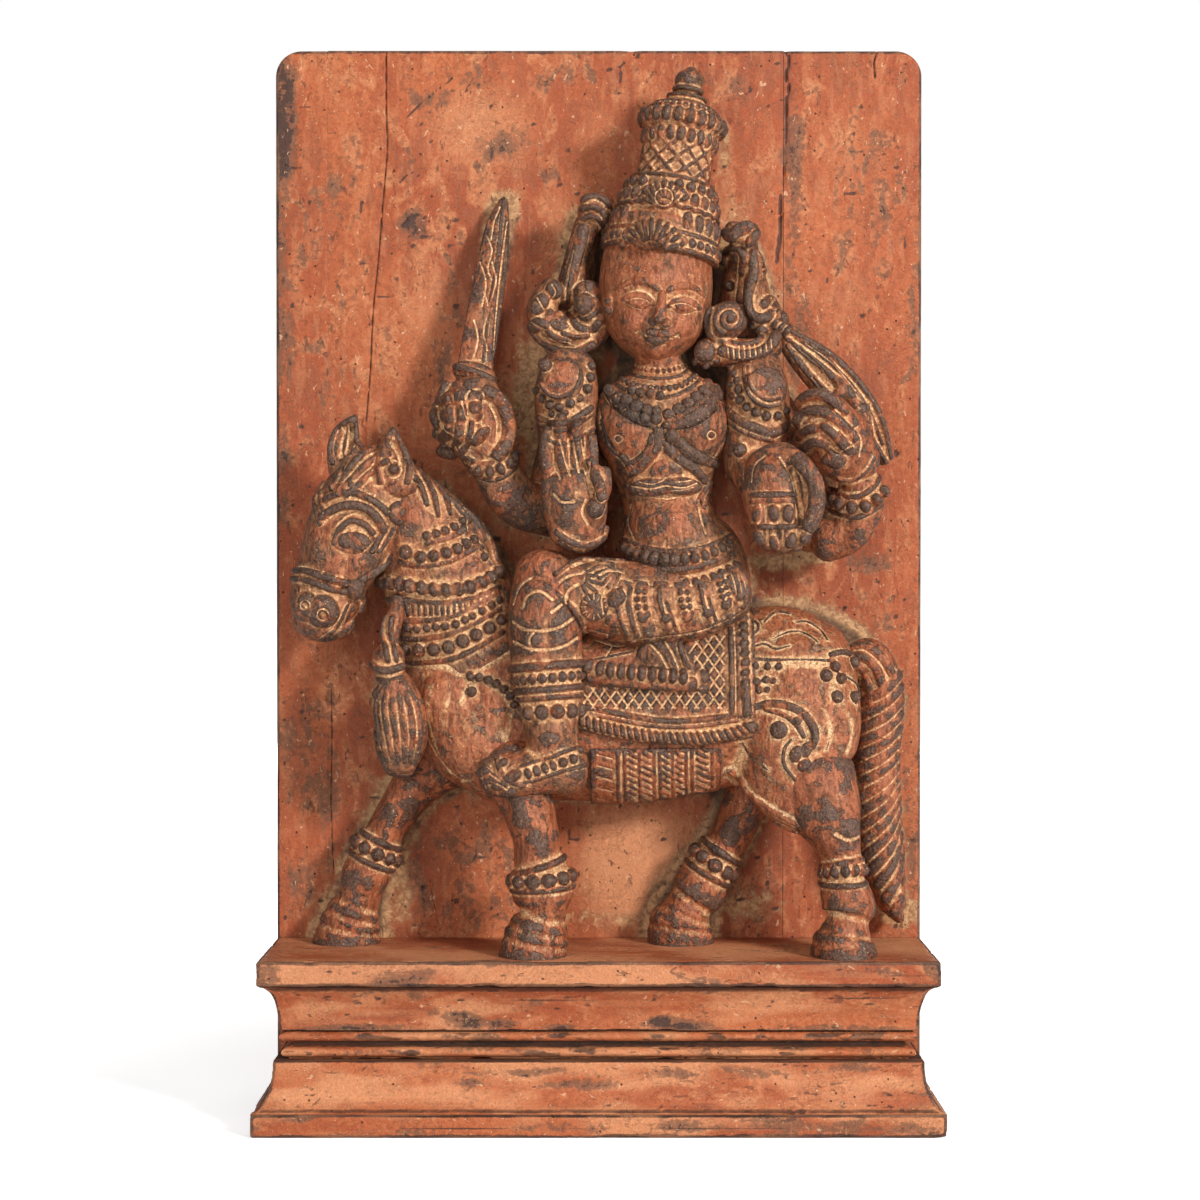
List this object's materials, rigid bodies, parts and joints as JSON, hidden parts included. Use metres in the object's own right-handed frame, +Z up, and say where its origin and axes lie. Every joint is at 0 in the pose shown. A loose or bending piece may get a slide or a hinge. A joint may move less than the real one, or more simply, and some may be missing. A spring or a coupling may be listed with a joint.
{
  "type": "carved wooden deity relief panel",
  "caption": "Carved wooden relief of a four-armed crowned deity riding a horse, on a plank back board that stands on a stepped moulded plinth.",
  "frame": {"origin": "centre of the footprint on the floor plane: middle of the bounding box in X and Y, underside of plinth and board at Z = 0", "axes": "+Z up along the board's height, front of the relief faces -Y, +X to the viewer's right"},
  "size_m": [0.38, 0.123, 0.61],
  "materials": {
    "painted_board": "worn matte red paint",
    "carved_wood": "dark handled wood, satin on the high parts",
    "peg_wood": "plain matte"
  },
  "bodies": {
    "root": {"belly_band": "carved_wood", "blessing_arm": "carved_wood", "board_centre_plank": "painted_board", "board_dowel_left_high": "peg_wood", "board_dowel_left_low": "peg_wood", "board_dowel_right_high": "peg_wood", "board_dowel_right_low": "peg_wood", "board_left_plank": "painted_board", "board_right_plank": "painted_board", "crown": "carved_wood", "ear_ornament_left": "carved_wood", "ear_ornament_right": "carved_wood", "flame_leaf": "carved_wood", "horse_body": "carved_wood", "horse_body_peg_1": "peg_wood", "horse_body_peg_2": "peg_wood", "horse_head": "carved_wood", "layer_peg_left": "peg_wood", "layer_peg_right": "peg_wood", "near_fore_leg": "carved_wood", "near_hind_leg": "carved_wood", "neck_tassel": "carved_wood", "off_fore_leg": "carved_wood", "off_fore_leg_peg_1": "peg_wood", "off_hind_leg": "carved_wood", "off_hind_leg_peg_1": "peg_wood", "plinth_cove": "painted_board", "plinth_cove_peg_left": "peg_wood", "plinth_cove_peg_right": "peg_wood", "plinth_foot": "painted_board", "plinth_foot_peg_left": "peg_wood", "plinth_foot_peg_right": "peg_wood", "plinth_ledge": "painted_board", "plinth_neck": "painted_board", "raised_arm": "carved_wood", "raised_arm_peg_1": "peg_wood", "resting_arm": "carved_wood", "rider_head": "carved_wood", "rider_head_peg_1": "peg_wood", "rider_lower_leg": "carved_wood", "rider_thigh": "carved_wood", "rider_torso": "carved_wood", "rider_torso_peg_1": "peg_wood", "saddle_cloth": "carved_wood", "sash_end": "carved_wood", "sword": "carved_wood", "sword_arm": "carved_wood", "sword_arm_peg_1": "peg_wood", "tail": "carved_wood", "tail_peg_1": "peg_wood"}
  },
  "joints": []
}
